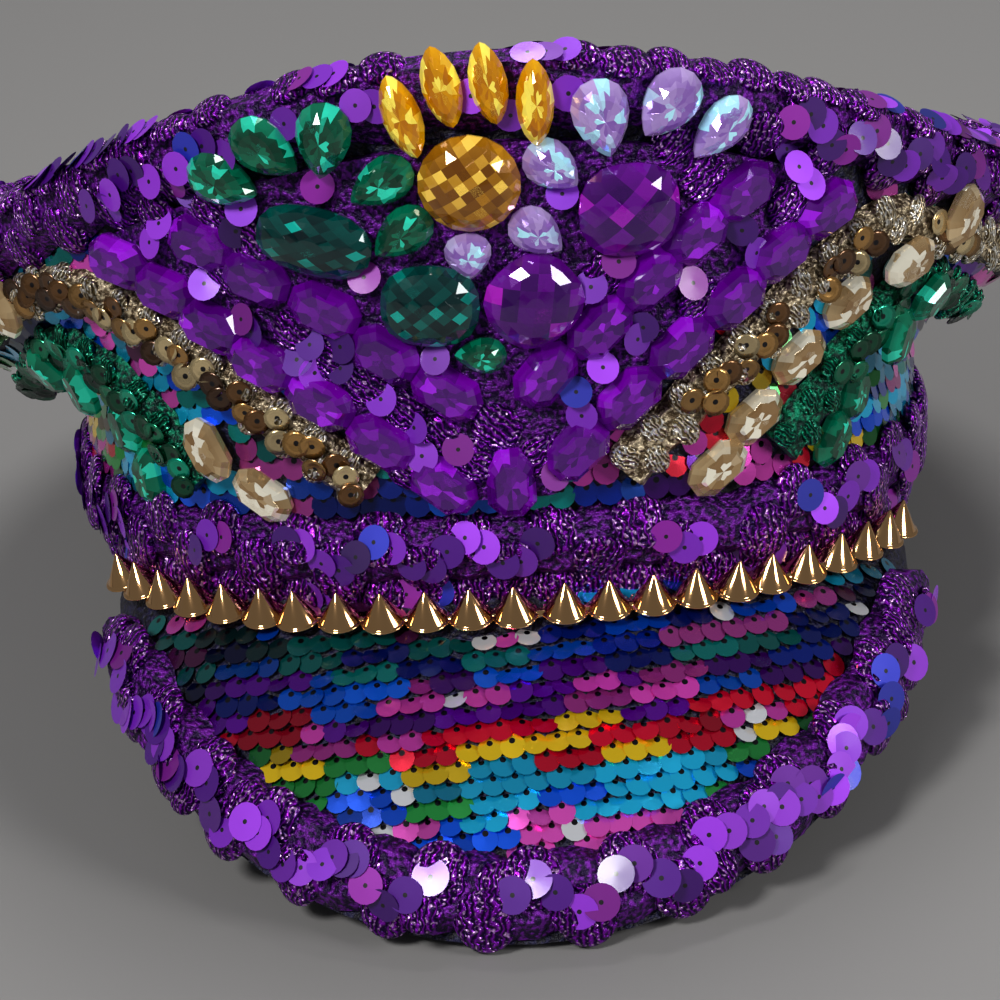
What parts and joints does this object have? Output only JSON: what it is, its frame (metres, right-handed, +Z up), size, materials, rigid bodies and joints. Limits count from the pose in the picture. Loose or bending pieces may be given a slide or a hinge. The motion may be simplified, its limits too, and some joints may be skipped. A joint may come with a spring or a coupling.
{
  "type": "sequin captain's hat",
  "caption": "Peaked captain's cap with a wide flared crown, a curved visor, wavy sequin braid, cut stones and a row of cone studs along the visor seam.",
  "frame": {"origin": "centre of the footprint, on the surface that the cap rests on", "axes": "+Z up, -Y out of the front over the visor, +X to the right of someone who looks at the front"},
  "size_m": [0.2294, 0.2762, 0.1537],
  "materials": {
    "band_cloth": "woven cloth",
    "rainbow_sequins": "flip sequins in rainbow colours",
    "violet_lurex": "metallic thread braid",
    "gold_lurex": "metallic thread braid",
    "green_lurex": "metallic thread braid",
    "gold_metal": "polished",
    "emerald_dark": "foiled acrylic stone",
    "emerald": "foiled acrylic stone",
    "amber": "foiled acrylic stone",
    "crystal": "foiled acrylic stone",
    "violet": "foiled acrylic stone",
    "champagne": "foiled acrylic stone"
  },
  "bodies": {
    "root": {"headband": "band_cloth", "crown_sides": "rainbow_sequins", "crown_top": "rainbow_sequins", "visor": "rainbow_sequins", "visor_trim": "violet_lurex", "band_trim": "violet_lurex", "crown_edge_trim": "violet_lurex", "front_braid": "violet_lurex", "gold_braid_left": "gold_lurex", "gold_braid_right": "gold_lurex", "green_braid_left": "green_lurex", "green_braid_right": "green_lurex", "spike_chain": "gold_metal", "emerald_oval": "emerald_dark", "emerald_cushion": "emerald_dark", "violet_cushion_high": "violet", "violet_cushion_low": "violet", "amber_round": "amber", "emerald_pear_1": "emerald", "emerald_pear_2": "emerald", "emerald_pear_3": "emerald", "emerald_pear_4": "emerald", "emerald_pear_5": "emerald", "emerald_pear_small": "emerald", "amber_marquise_1": "amber", "amber_marquise_2": "amber", "amber_marquise_3": "amber", "amber_marquise_4": "amber", "crystal_pear_1": "crystal", "crystal_pear_2": "crystal", "crystal_pear_3": "crystal", "crystal_pear_4": "crystal", "crystal_pear_5": "crystal", "crystal_pear_small": "crystal", "champagne_left_1": "champagne", "champagne_left_2": "champagne", "champagne_left_3": "champagne", "champagne_right_1": "champagne", "champagne_right_2": "champagne", "champagne_right_3": "champagne", "champagne_right_4": "champagne", "champagne_right_5": "champagne", "champagne_right_6": "champagne", "green_octagon_left_1": "emerald", "green_octagon_left_2": "emerald", "green_octagon_left_3": "emerald", "green_octagon_left_4": "emerald", "green_octagon_right_1": "emerald", "green_octagon_right_2": "emerald", "green_octagon_right_3": "emerald", "green_octagon_right_4": "emerald"}
  },
  "joints": []
}
